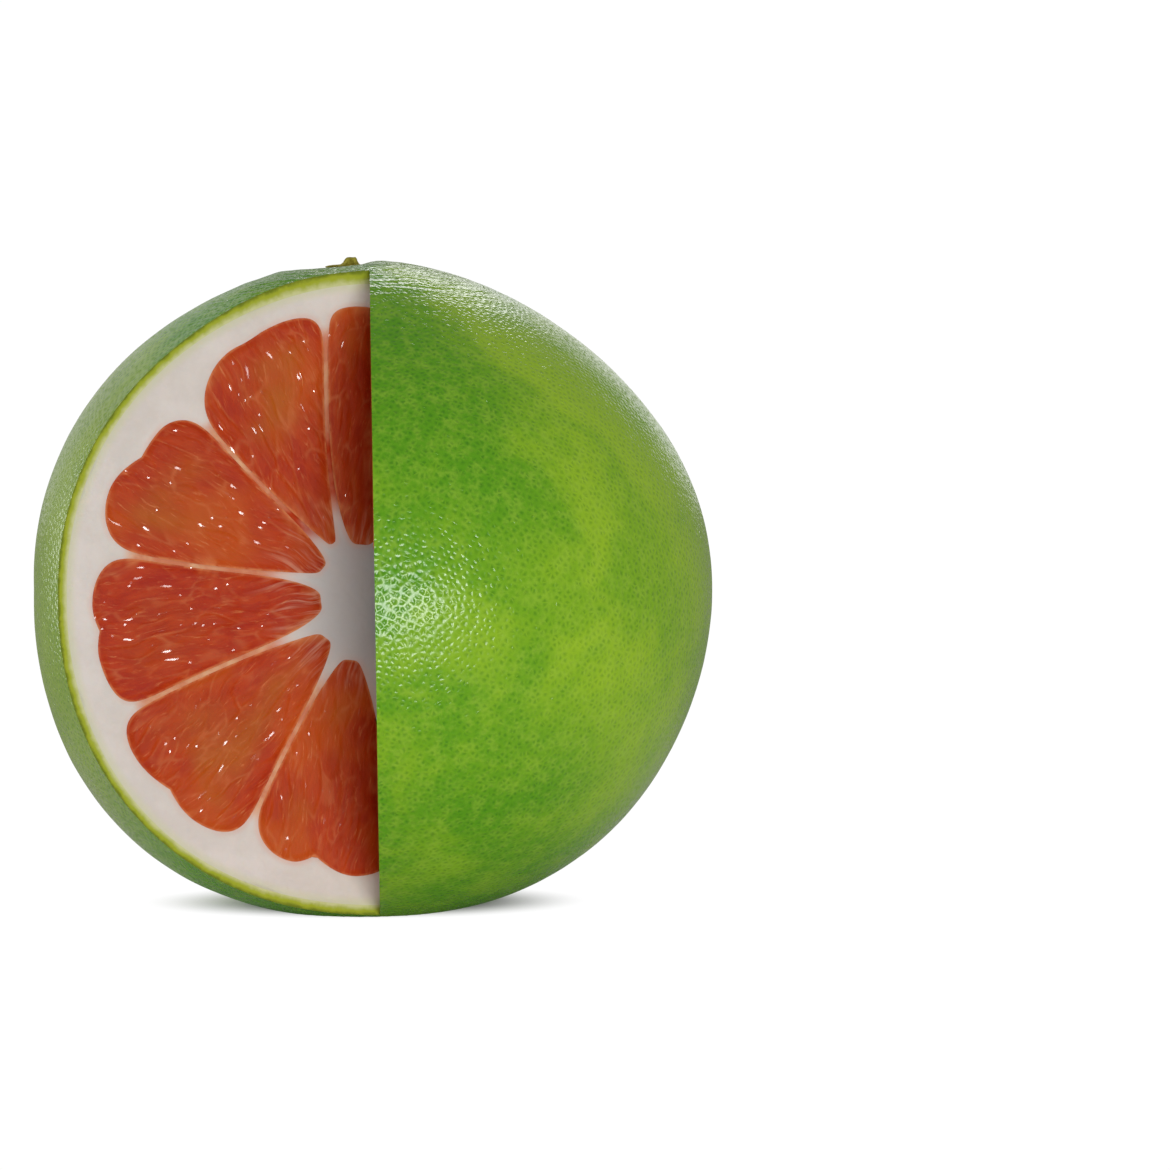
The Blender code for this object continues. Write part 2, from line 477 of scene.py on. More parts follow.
def snap_outline(shape):
    """Moves the vertices round the cut faces onto the smooth outlines of rind and pulp."""
    for cut, other in ((FACE, SEAM), (SEAM, FACE)):
        for vertex in vertices_of(cut_edges(shape, cut)):
            start = np.array(vertex.co)
            corner = on_both(start)
            if corner and all(len(edge.link_faces) == 0 for edge in vertex.link_edges):
                continue
            if depth_of(start) < 4 * MM:
                point = snap_to_rind(start, cut)
            else:
                tree = min(OUTLINE_TREES[cut.name], key=lambda tree: tree.find(start)[2])
                point = slide_onto(tree, start)
            if corner:
                x = seam_x(point[2])
                point = np.array((x, face_y(x), point[2]))
            elif other.height(point) < 0.4 * other.height(start):
                continue  # it would come too near the corner between the cuts
            vertex.co = point


def fill_cut(shape, cut, grain, generator):
    """Fills a cut face with fine, nearly even triangles."""
    edges = cut_edges(shape, cut)
    vertices = vertices_of(edges)
    number = {vertex: index for index, vertex in enumerate(vertices)}
    outline = cut.flat(coordinates(vertices))
    pairs = np.array([[number[vertex] for vertex in edge.verts] for edge in edges])
    starts, ends = outline[pairs[:, 0]], outline[pairs[:, 1]]
    tree = tree_of([(x, y, 0) for x, y in outline])

    def within(xs, y):
        """Which places at a height lie inside the outline and outside its openings."""
        crossing = (starts[:, 1] > y) != (ends[:, 1] > y)
        one, two = starts[crossing], ends[crossing]
        walls = np.sort(one[:, 0] + (y - one[:, 1]) / (two[:, 1] - one[:, 1]) * (two[:, 0] - one[:, 0]))
        return np.searchsorted(walls, xs) % 2 == 1

    low, high = outline.min(0), outline.max(0)
    inside = []
    for row, y in enumerate(np.arange(low[1], high[1], grain * math.sqrt(3) / 2)):
        xs = np.arange(low[0] + (row % 2) * grain / 2, high[0], grain)
        inside += [(x, y, 0) for x in xs[within(xs, y)]]
    inside = np.array(inside)
    _, clear = nearest(tree, inside)
    inside = inside[clear > POINT_CLEARANCE * grain][:, :2]
    inside = inside + generator.uniform(-POINT_SPREAD, POINT_SPREAD, inside.shape) * grain

    flat = [Vector(point) for point in np.concatenate((outline, inside))]
    _, _, faces, origins, _, _ = geometry.delaunay_2d_cdt(flat, pairs.tolist(), [], INSIDE_WITH_HOLES, 0)
    made = vertices + [shape.verts.new(point) for point in cut.place(inside)]
    for face in faces:
        corners = [origins[corner][0] for corner in face if origins[corner]]
        if len(corners) < len(face):
            continue
        if max(corners) < len(vertices):
            x, y = outline[corners].mean(0)
            if not within(x, y):
                continue
        shape.faces.new([made[corner] for corner in corners])


def refined_node(node, grain, generator):
    """A solid with its cut faces remade from fine triangles inside smooth outlines."""
    shape = node_bmesh(node)
    open_cut_faces(shape)
    for cut in (FACE, SEAM):
        split_edges(shape, cut_edges(shape, cut), grain)
    snap_outline(shape)
    for cut in (FACE, SEAM):
        if cut_edges(shape, cut):
            fill_cut(shape, cut, grain, generator)
    bmesh.ops.triangulate(shape, faces=shape.faces)
    bmesh.ops.recalc_face_normals(shape, faces=shape.faces)
    return shape


def cut_outlines(shape):
    """Numbers of the edges between a cut face and the rest."""
    points = coordinates(shape.verts)
    flat = [on_cut(points, cut) for cut in (FACE, SEAM)]
    shape.verts.index_update()
    sides = {}
    for face in shape.faces:
        corners = [vertex.index for vertex in face.verts]
        sides[face] = [bool(side[corners].all()) for side in flat]
    found = []
    for number, edge in enumerate(shape.edges):
        if len({tuple(sides[face]) for face in edge.link_faces}) > 1:
            found.append(number)
    return found


def placed(name, data):
    """A new object in the scene."""
    made = bpy.data.objects.new(name, data)
    bpy.context.scene.collection.objects.link(made)
    return made


def finished_piece(name, shape, node, sharp=50):
    """Turns a shape into a piece of the fruit that stands for a solid."""
    mesh = bpy.data.meshes.new(name)
    outlines = cut_outlines(shape)
    shape.to_mesh(mesh)
    shape.free()
    mesh.shade_smooth()
    mesh.set_sharp_from_angle(angle=math.radians(sharp))
    for number in outlines:
        mesh.edges[number].use_edge_sharp = True
    piece = placed(name, mesh)
    piece.data.transform(Matrix.Translation(CENTRE))
    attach(piece, "root")
    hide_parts(node)
    return piece


def positions(piece):
    flat = np.empty(len(piece.data.vertices) * 3, np.float32)
    piece.data.vertices.foreach_get("co", flat)
    return flat.reshape(-1, 3).astype(float) - CENTRE


def move_to(piece, points):
    piece.data.vertices.foreach_set("co", (points + CENTRE).astype(np.float32).ravel())
    piece.data.update()


def store(mesh, name, values):
    layer = mesh.attributes.new(name, "FLOAT", "POINT")
    layer.data.foreach_set("value", np.asarray(values, np.float32))


# The rind

def gland_net():
    """Oil glands spread over a ball, each with the corners it shares with its neighbours."""
    generator = np.random.default_rng(11)
    number = np.arange(GLANDS)
    z = 1 - (2 * number + 1) / GLANDS
    turn = number * math.pi * (3 - math.sqrt(5))
    level = np.sqrt(1 - z * z)
    ball = np.stack((level * np.cos(turn), level * np.sin(turn), z), -1)
    ball = unit(ball + generator.normal(0, GLAND_JITTER, ball.shape))
    flat = [Vector(point) for point in ball[:, :2] / (1 + ball[:, 2:])]
    _, _, found, origins, _, _ = geometry.delaunay_2d_cdt(flat, [], [], 0, 0)
    triangles = [tuple(origins[corner][0] for corner in face) for face in found]
    neighbours = edges_of(triangles)
    pole = len(ball)
    triangles += [(*edge, pole) for edge, beside in neighbours.items() if len(beside) == 1]
    glands = np.append(ball, [(0, 0, -1)], 0)

    one, two, three = (glands[list(corners)] for corners in zip(*triangles))
    corners = unit(np.cross(two - one, three - one))
    corners *= np.sign((corners * one).sum(1))[:, None]
    faces = []
    for (first, second), beside in edges_of(triangles).items():
        left, right = (len(glands) + triangle for triangle in beside)
        faces += [(first, left, right), (second, right, left)]
    return glands, corners, faces


def edges_of(triangles):
    """The triangles beside each edge."""
    edges = {}
    for number, (one, two, three) in enumerate(triangles):
        for pair in ((one, two), (two, three), (three, one)):
            edges.setdefault((min(pair), max(pair)), []).append(number)
    return edges


def cut_away_quarter(shape):
    """Cuts an open shape along both planes and takes the quarter between them away."""
    for cut, other in ((FACE, SEAM), (SEAM, FACE)):
        near = [
            vertex for vertex in shape.verts
            if abs(cut.height(vertex.co)) < 4 * MM and other.height(vertex.co) > -4 * MM
        ]
        faces = list(dict.fromkeys(face for vertex in near for face in vertex.link_faces))
        edges = list(dict.fromkeys(edge for face in faces for edge in face.edges))
        bmesh.ops.bisect_plane(
            shape,
            geom=vertices_of(faces) + edges + faces,
            dist=0.0001 * MM,
            plane_co=cut.normal * cut.offset,
            plane_no=cut.normal,
        )
    gone = [
        face for face in shape.faces
        if not remains(middle_of(face), 0.0001 * MM)
    ]
    bmesh.ops.delete(shape, geom=gone, context="FACES")


def rind_shape(generator):
    glands, corners, faces = gland_net()
    directions = np.concatenate((glands, corners))
    points = directions * rind_distance(directions, 0)[:, None]
    mesh = bpy.data.meshes.new("gland_net")
    mesh.from_pydata(points.tolist(), [], faces)
    store(mesh, "gland", np.arange(len(points)) < len(glands))
    store(mesh, "gland_tone", generator.uniform(0, 1, len(points)))
    outer = bmesh.new()
    outer.from_mesh(mesh)
    bpy.data.meshes.remove(mesh)
    cut_away_quarter(outer)

    inner = node_bmesh("skin")
    open_cut_faces(inner)
    outside = [face for face in inner.faces if depth_of(middle_of(face)) < 0.9 * MM]
    bmesh.ops.delete(inner, geom=outside, context="FACES")
    wires = [edge for edge in inner.edges if edge.is_wire]
    bmesh.ops.delete(inner, geom=wires, context="EDGES")
    for cut in (FACE, SEAM):
        split_edges(inner, cut_edges(inner, cut), 2 * RIM_GRAIN)
    snap_outline(inner)
    lining = bpy.data.meshes.new("lining")
    inner.to_mesh(lining)
    inner.free()
    outer.from_mesh(lining)
    bpy.data.meshes.remove(lining)

    for upward in (1, -1):
        ends = sorted(
            (vertex for vertex in outer.verts if vertex.is_boundary and on_both(np.array(vertex.co))
             and vertex.co.z * upward > 0),
            key=lambda vertex: vertex.co.z,
        )
        edge = outer.edges.new((ends[0], ends[-1]))
        split_edges(outer, [edge], RIM_GRAIN)
    for cut in (FACE, SEAM):
        fill_cut(outer, cut, RIM_GRAIN, generator)
    bmesh.ops.triangulate(outer, faces=outer.faces)
    bmesh.ops.recalc_face_normals(outer, faces=outer.faces)
    return outer


def rise_at_ends(points):
    """How far the rind rises above the plain form: a dip at the stem, a brow at the front cut."""
    x, y, z = points[:, 0], points[:, 1], points[:, 2]
    sideways = (x - DIP_PLACE[0]) / np.where(x < DIP_PLACE[0], DIP_REACH[0], DIP_REACH[1])
    dip = DIP * smooth(1.0, 0.1, np.hypot(sideways, (y - DIP_PLACE[1]) / DIP_REACH[2])) * (z > 0)
    brow = smooth(-3 * MM, -20 * MM, y) * smooth(-48 * MM, -30 * MM, y)
    brow = BROW * brow * smooth(-50 * MM, -18 * MM, x) * smooth(25 * MM, 5 * MM, x)
    return brow * np.where(z > 0, 1, LOWER_BROW) - dip


def rind_lumps(points):
    """Slow lumps all over the rind, and folds that run out from the stem."""
    lumps = sum(height * noise(points, size, seed, octaves) for height, size, seed, octaves in RIND_LUMPS)
    x, y = points[:, 0] - STEM_PLACE[0], points[:, 1] - STEM_PLACE[1]
    from_stem = np.hypot(x, y)
    around = np.arctan2(y, x)
    turns = FOLD_TURNS * np.cos(around), FOLD_TURNS * np.sin(around)
    places = np.stack((*turns, from_stem / FOLD_LENGTH), -1)
    folds = FOLDS[0] * noise(places, 1.0, 9, 2) + FOLDS[1] * noise(places * 2, 1.0, 10)
    near_stem = smooth(FOLD_REACH[1], FOLD_REACH[0], from_stem) * (points[:, 2] > 0)
    return lumps + folds * near_stem


def share_of_relief(points):
    """From 0 at the cuts' edges and the flat spot to 1 a few millimetres away."""
    to_face, to_seam = FACE.height(points), SEAM.height(points)
    to_cuts = np.minimum(abs(to_face) + FAR * (to_seam < 0), abs(to_seam) + FAR * (to_face < 0))
    return smooth(0, 5 * MM, to_cuts) * smooth(0, 4 * MM, points[:, 2] + CENTRE_HEIGHT)


def make_rind(generator):
    piece = finished_piece("rind", rind_shape(generator), "skin", sharp=60)
    points = positions(piece)
    depth = depth_of(points)
    cut = on_cut(points, FACE) | on_cut(points, SEAM)
    gland = np.empty(len(points), np.float32)
    piece.data.attributes["gland"].data.foreach_get("value", gland)
    resting = points[:, 2] < -CENTRE_HEIGHT + 0.05 * MM
    outside = (depth < 0.2 * MM) & ~cut & ~resting
    sink = GLAND_PIT * gland + (RIND_DROP - rind_lumps(points)) * share_of_relief(points)
    moved = points - unit(points) * (sink * outside)[:, None]
    moved[:, 2] += rise_at_ends(moved) * (1 - np.clip(depth / RIND_DEPTH, 0, 1))
    moved[:, 2] = np.maximum(moved[:, 2], -CENTRE_HEIGHT)
    move_to(piece, moved)
    store(piece.data, "rim_depth", depth / RIND_DEPTH)
    piece.data.materials.append(rind_material())
    piece.data.materials.append(rim_material())
    for face in piece.data.polygons:
        if all(cut[corner] for corner in face.vertices):
            face.material_index = 1


# The pulp

def sacs(places, generator, length, width, twist):
    """For flat places in a segment: how far inside a juice sac each lies, and the sac's own tone."""
    low, high = places.min(0) - 2 * length, places.max(0) + 2 * length
    count = int(np.prod(high - low) / (length * width))
    sites = generator.uniform(low, high, (count, 2))
    tones = generator.uniform(0, 1, count)
    lean = generator.normal(0, twist, count)
    first = np.full(len(places), 1e9)
    second = np.full(len(places), 1e9)
    tone = np.zeros(len(places))
    for site, value, turn in zip(sites, tones, lean):
        step = places - site
        along = (step[:, 0] * math.cos(turn) + step[:, 1] * math.sin(turn)) / length
        across = (step[:, 1] * math.cos(turn) - step[:, 0] * math.sin(turn)) / width
        distance = np.hypot(along, across)
        closer = distance < first
        second = np.where(closer, first, np.minimum(second, distance))
        tone = np.where(closer, value, tone)
        first = np.where(closer, distance, first)
    return second - first, tone


def pulp_places(points, cut, segment):
    """Flat places of points on a cut face: distance from the core, and sideways."""
    from_core = points - CORE
    radius = np.hypot(from_core[:, 0], from_core[:, 2])
    if cut is SEAM:
        return np.stack((radius, from_core[:, 1]), -1)
    middle = math.radians((segment[0][0] + segment[1][0]) / 2)
    turn = np.arctan2(-from_core[:, 0], from_core[:, 2]) - middle
    turn = (turn + math.pi) % (2 * math.pi) - math.pi
    return np.stack((radius, turn * radius), -1)


def pulp_rise(spots, cut, edge, wall, tone):
    """How far the pulp stands proud of its cut: a dome for each sac, lower at the segment's edge."""
    dome = smooth(0.0, 0.55, wall)
    relief = SAC_DOME * dome + SAC_CHANGE * (tone - 0.5) * dome + PULP_LUMP * noise(spots, 5 * MM, 41, 2)
    rise = PULP_RISE * smooth(0, 2.2 * MM, edge) + relief * smooth(0, 1.8 * MM, edge)
    if cut is SEAM:
        rise = 0.5 * rise - SEAM_SINK * smooth(0, 7.0 * MM, edge)
    return rise


def make_segment(number, segment, generator):
    node = f"segment_{number}"
    piece = finished_piece(f"pulp_{number}", refined_node(node, PULP_GRAIN, generator), node)
    points = positions(piece)
    moved = points.copy()
    looks = {name: np.zeros(len(points)) for name in ("wall", "tone", "edge", "fibre_x", "fibre_y")}
    for cut in (FACE, SEAM):
        here = on_cut(points, cut)
        if not here.any():
            continue
        spots = points[here]
        warp = np.stack((noise(spots, 11 * MM, 21, 2), noise(spots + 1, 9 * MM, 22, 2)), -1)
        bent = pulp_places(spots, cut, segment) + warp * SAC_WARP
        wall, tone = sacs(bent, generator, SAC_LENGTH, SAC_WIDTH, SAC_LEAN)
        _, edge = nearest(tree_of(SECTIONS[cut.name][number - 1]), spots)
        edge = np.minimum(edge, abs(other_than(cut).height(spots)) + 0.2 * MM)
        moved[here] += cut.normal * pulp_rise(spots, cut, edge, wall, tone)[:, None]
        looks["wall"][here] = 1 - smooth(0.0, 0.22, wall)
        looks["tone"][here] = tone
        looks["edge"][here] = edge / MM
        looks["fibre_x"][here] = bent[:, 0] / MM
        looks["fibre_y"][here] = bent[:, 1] / MM + 40 * number + (400 if cut is SEAM else 0)
    move_to(piece, moved)
    looks["warmth"] = np.full(len(points), WARMTH[number - 1])
    for name, values in looks.items():
        store(piece.data, name, values)
    piece.data.materials.append(PULP)


# The pith

def stained_places(points):
    """How much juice hides the membranes of the front cut."""
    from_core = points - CORE
    radius = np.hypot(from_core[:, 0], from_core[:, 2])
    angle = np.degrees(np.arctan2(-from_core[:, 0], from_core[:, 2]))
    stained = np.zeros(len(points))
    for low, high, start, end in STAINED:
        along = smooth(start - 2 * MM, start + 7 * MM, radius) * smooth(end + 7 * MM, end - 4 * MM, radius)
        stained = np.maximum(stained, along * ((angle > low) & (angle < high)))
    return stained * on_cut(points, FACE)


def make_pith(generator):
    piece = finished_piece("pith_and_core", refined_node("pith", PITH_GRAIN, generator), "pith")
    points = positions(piece)
    moved = points.copy()
    near_pulp = np.zeros(len(points))
    membrane = np.zeros(len(points))
    for cut in (FACE, SEAM):
        here = on_cut(points, cut)
        spots = points[here]
        distances = np.sort([nearest(tree, spots)[1] for tree in OUTLINE_TREES[cut.name]], 0)
        first, second = distances[0], distances[1]
        from_rind = depth_of(spots) - RIND_DEPTH
        near_pulp[here] = 1 - smooth(0, 1.6 * MM, first)
        membrane[here] = 1 - smooth(1.0 * MM, 2.6 * MM, first + second)
        open_pith = smooth(0.2 * MM, 1.5 * MM, first) * smooth(0, 1 * MM, from_rind)
        rise = (SPONGE * noise(spots, 1.6 * MM, 31, 3) + PITH_LUMP * noise(spots, 6 * MM, 32)) * open_pith
        ridge = MEMBRANE_RIDGE * membrane[here] * smooth(0, 0.45 * MM, first)
        rise += ridge * (0.8 + 0.5 * noise(spots, 7 * MM, 33))
        if cut is SEAM:
            rise -= SEAM_SINK * smooth(0.1 * MM, 1 * MM, np.minimum(first, from_rind))
        moved[here] += cut.normal * rise[:, None]
    move_to(piece, moved)
    from_core = points - CORE
    store(piece.data, "near_pulp", near_pulp)
    store(piece.data, "membrane", membrane)
    store(piece.data, "depth", depth_of(points) / MM)
    store(piece.data, "core", np.hypot(from_core[:, 0], from_core[:, 2]) / MM)
    store(piece.data, "stained", stained_places(points))
    piece.data.materials.append(pith_material())


# The stem

# Points round the stem, its rings from below with radius and height in millimetres, and its skirt
STEM_STEPS = 90
STEM_RINGS = (
    (0.00, -0.9), (2.6, -0.7), (3.3, -0.25), (3.5, 0.02), (3.2, 0.22), (2.6, 0.40), (2.15, 0.66),
    (1.85, 1.0), (1.6, 1.4), (1.4, 1.8), (1.22, 2.12), (0.85, 2.32), (0.0, 2.24),
)
SKIRT = range(1, 6)
SKIRT_RIM = range(3, 6)


def stem_ring(level, radius, height):
    """Points of one ring of the stem, about the place where it stands."""
    turn = np.linspace(0, 2 * math.pi, STEM_STEPS, endpoint=False)
    lobe = np.cos(5 * turn + 0.6)
    spread = radius * MM * np.ones(STEM_STEPS)
    if level in SKIRT:
        spread *= (1 + 0.12 * lobe) * (1 + 0.7 * np.maximum(-np.cos(turn), 0) ** 2)
    elif level > SKIRT[-1]:
        spread *= 1 + 0.05 * np.cos(9 * turn)
    rise = (height + 0.08 * lobe * (level in SKIRT_RIM)) * MM
    points = np.stack((spread * np.cos(turn), spread * np.sin(turn), rise), -1)
    points[:, 0] += 0.2 * MM * max(height, 0)
    return points + unit(points + 1e-9) * 0.10 * MM * noise(points, 0.9 * MM, 52, 2)[:, None]


def make_stem():
    """A worn, conical stub of the stalk on a low skirt that reaches to the left."""
    way = unit(np.array((*STEM_PLACE, HALF_HEIGHT)))
    top = way * rind_distance(way, 0) - (0, 0, STEM_DROP)
    shape = bmesh.new()
    rows = []
    for level, (radius, height) in enumerate(STEM_RINGS):
        points = stem_ring(level, radius, height)
        rows.append([shape.verts.new(top + point) for point in points[:STEM_STEPS if radius else 1]])
    for low, high in zip(rows, rows[1:]):
        for step in range(STEM_STEPS):
            corners = [low[step % len(low)], low[(step + 1) % len(low)],
                       high[(step + 1) % len(high)], high[step % len(high)]]
            shape.faces.new(list(dict.fromkeys(corners)))
    bmesh.ops.recalc_face_normals(shape, faces=shape.faces)
    piece = finished_piece("stem", shape, "stem_button", sharp=70)
    piece.data.materials.append(stem_material())


# Materials

class Graph:
    """Builds a material's nodes: plain numbers go on sockets, node outputs are linked."""

    def __init__(self, name):
        self.material = bpy.data.materials.new(name)
        self.material.use_nodes = True
        self.tree = self.material.node_tree
        self.shader = self.tree.nodes["Principled BSDF"]

    def node(self, kind, inputs=None, **settings):
        node = self.tree.nodes.new("ShaderNode" + kind)
        for name, value in settings.items():
            setattr(node, name, value)
        for socket, value in (inputs or {}).items():
            self.set(node, socket, value)
        return node

    def set(self, node, socket, value):
        if isinstance(value, bpy.types.NodeSocket):
            self.tree.links.new(value, node.inputs[socket])
        else:
            node.inputs[socket].default_value = value

    def attribute(self, name):
        return self.node("Attribute", attribute_name=name).outputs["Fac"]

    def math(self, operation, *values):
        return self.node("Math", dict(enumerate(values)), operation=operation).outputs[0]

    def product(self, *values):
        return functools.reduce(lambda one, two: self.math("MULTIPLY", one, two), values)

    def total(self, *values):
        return functools.reduce(lambda one, two: self.math("ADD", one, two), values)

    def vector(self, operation, *values):
        node = self.node("VectorMath", dict(enumerate(values)), operation=operation)
        return node.outputs["Value" if operation == "LENGTH" else "Vector"]

    def mix(self, share, one, two):
        return self.node("Mix", {0: share, 6: one, 7: two}, data_type="RGBA").outputs[2]

    def ramp(self, value, low, high, start=0.0, end=1.0):
        inputs = {"Value": value, "From Min": low, "From Max": high, "To Min": start, "To Max": end}
        return self.node("MapRange", inputs, interpolation_type="SMOOTHSTEP").outputs[0]

    def noise(self, scale, detail=2.0, roughness=0.5, distortion=0.0, vector=None):
        inputs = {"Scale": scale, "Detail": detail, "Roughness": roughness, "Distortion": distortion}
        inputs["Vector"] = vector or self.place()
        return self.node("TexNoise", inputs).outputs["Fac"]

    def place(self):
        return self.node("TexCoord").outputs["Object"]

    def shifted(self, step):
        return self.vector("ADD", self.place(), (step, step, step))

    def bump(self, height, distance, strength=1.0, normal=None):
        inputs = {"Height": height, "Distance": distance, "Strength": strength}
        if normal is not None:
            inputs["Normal"] = normal
        return self.node("Bump", inputs).outputs[0]

    def finish(self, **inputs):
        for name, value in inputs.items():
            self.set(self.shader, name.replace("_", " ").title().replace("Ior", "IOR"), value)
        return self.material


def colour(red, green, blue):
    """A colour from 0 to 255 as seen, as the shader wants it."""
    def linear(value):
        value /= 255
        return value / 12.92 if value <= 0.04045 else ((value + 0.055) / 1.055) ** 2.4
    return (linear(red), linear(green), linear(blue), 1)


# Colours
RIND_GREEN = colour(98, 168, 18)
RIND_RIPE = colour(166, 208, 38)
RIND_LIGHT = colour(172, 212, 66)
RIND_DOT = colour(52, 124, 10)
RIND_RIPE_DOT = colour(112, 162, 24)
RIND_STEM = colour(206, 198, 110)
RIND_LEFT_SHEEN = colour(156, 168, 84)
# Painted sheen: a paler, duller green that stands in for the sheen of light along the rind's left side
RIM_DARK = colour(112, 128, 14)
RIM_YELLOW = colour(170, 182, 40)
RIM_PALE = colour(218, 220, 160)
PITH_WHITE = colour(238, 230, 222)
PITH_SHADE = colour(229, 221, 212)
# The core's grey: partly its own greyer, translucent tissue, partly painted shade
PITH_CORE_GREY_AND_SHADE = colour(216, 216, 212)
PITH_OUTER = colour(226, 224, 190)
PITH_BLUSH = colour(240, 196, 180)
MEMBRANE_PALE = colour(240, 178, 130)
MEMBRANE_RED = colour(222, 122, 76)
PULP_DEEP = colour(176, 36, 6)
PULP_RED = colour(194, 58, 12)
PULP_ORANGE = colour(202, 82, 16)
PULP_OCHRE = colour(190, 104, 26)
PULP_PALE = colour(234, 146, 88)
PULP_TIP = colour(240, 190, 160)
STEM_DARK = colour(150, 138, 34)
STEM_LIGHT = colour(214, 202, 84)
STEM_BROWN = colour(96, 84, 40)

# The riper streak: its slope, and how far it lies from the fruit's foot
STREAK_SLOPE = (0.65, 0.76)
RIPE_STREAK = 0.1215

# The ripples round the stem: their length, and how quickly they change round it
RIPPLE = 1.9 * MM
RIPPLES_ROUND = 3


def ripeness(graph, axes, patches):
    """How yellow the skin is: more at both sides, along a slanting streak and in soft patches."""
    to_right = graph.total(axes[0], graph.product(axes[2], 0.25))
    right = graph.ramp(to_right, 0.025, 0.10, 0.0, 0.7)
    left = graph.ramp(axes[0], -0.075, -0.035, 0.6, 0.0)
    slanted = graph.total(graph.product(axes[0], STREAK_SLOPE[0]), graph.product(axes[2], STREAK_SLOPE[1]))
    slanted = graph.total(slanted, graph.ramp(graph.noise(30, 2.0), 0.2, 0.8, -0.004, 0.004))
    from_streak = graph.math("ABSOLUTE", graph.math("SUBTRACT", slanted, RIPE_STREAK))
    return graph.total(
        graph.math("MAXIMUM", right, left),
        graph.ramp(from_streak, 0.0005, 0.006, 0.45, 0.0),
        graph.ramp(graph.noise(16, 3.0, 0.55, 0.4), 0.42, 0.66, 0.0, 0.30),
        graph.ramp(patches, 0.42, 0.68, -0.04, 0.30),
    )


def stem_ripples(graph, stem, from_stem, above):
    """Long wrinkles that run out from the stem and fade."""
    way = graph.vector("MULTIPLY", graph.vector("NORMALIZE", stem), (RIPPLES_ROUND, RIPPLES_ROUND, 0))
    ring = graph.node("CombineXYZ", {2: graph.product(from_stem, 1 / RIPPLE)}).outputs[0]
    ripple = graph.noise(1.0, 2.0, 0.5, 0.5, graph.vector("ADD", way, ring))
    return graph.product(ripple, above, graph.ramp(from_stem, 0.02, 0.052, 1.0, 0.0))


def rind_material():
    graph = Graph("rind")
    axes = graph.node("SeparateXYZ", {0: graph.place()}).outputs
    gland = graph.attribute("gland")
    patches = graph.noise(45, 3.0, 0.6, 0.3)
    ripe = ripeness(graph, axes, patches)
    ground = graph.mix(graph.ramp(ripe, 0.08, 1.0), RIND_GREEN, RIND_RIPE)
    ground = graph.mix(graph.ramp(graph.noise(330, 4.0, 0.7), 0.4, 0.68, 0.0, 0.40), ground, RIND_LIGHT)
    # Painted sheen: the rind's left side turns paler and duller, standing in for the sheen of light there
    ground = graph.mix(graph.ramp(axes[0], -0.064, -0.040, 0.45, 0.0), ground, RIND_LEFT_SHEEN)
    strength = graph.ramp(graph.attribute("gland_tone"), 0.0, 1.0, 0.1, 0.55)
    dot_colour = graph.mix(graph.ramp(ripe, 0.2, 1.0), RIND_DOT, RIND_RIPE_DOT)
    skin = graph.mix(graph.product(graph.ramp(gland, 0.12, 0.92), strength), ground, dot_colour)
    flat = graph.node("CombineXYZ", {0: axes[0], 1: axes[1]}).outputs[0]
    stem = graph.vector("SUBTRACT", flat, (*STEM_PLACE, 0))
    from_stem = graph.vector("LENGTH", stem)
    above = graph.ramp(axes[2], 0.08, 0.10)
    dry = graph.product(graph.ramp(from_stem, 0.003, 0.013, 0.8, 0.0), above)
    skin = graph.mix(graph.product(dry, graph.ramp(patches, 0.3, 0.6, 0.4, 1.0)), skin, RIND_STEM)

    pits = graph.bump(graph.ramp(gland, 0.1, 0.95, 1.0, 0.0), 0.08 * MM, 1.0)
    waves = graph.bump(graph.noise(430, 1.0, 0.5), 0.22 * MM, 0.8, pits)
    waves = graph.bump(stem_ripples(graph, stem, from_stem, above), 1.3 * MM, 0.9, waves)
    return graph.finish(
        base_color=skin,
        roughness=graph.ramp(graph.noise(60, 2.0), 0.3, 0.7, 0.17, 0.23),
        normal=graph.bump(graph.noise(900, 2.0, 0.6), 0.04 * MM, 0.4, waves),
        specular_ior_level=0.42,
    )


def rim_material():
    """The cut edge of the rind: dark outside, yellow within and pale toward the pith."""
    graph = Graph("rim")
    ragged = graph.ramp(graph.noise(380, 3.0, 0.6), 0.3, 0.7, -0.11, 0.11)
    depth = graph.total(graph.attribute("rim_depth"), ragged)
    rim = graph.mix(graph.ramp(depth, 0.0, 0.4), RIM_DARK, RIM_YELLOW)
    rim = graph.mix(graph.ramp(depth, 0.4, 1.05), rim, RIM_PALE)
    return graph.finish(
        base_color=rim,
        roughness=0.6,
        specular_ior_level=0.15,
        normal=graph.bump(graph.noise(900, 3.0, 0.6), 0.05 * MM, 0.5),
    )


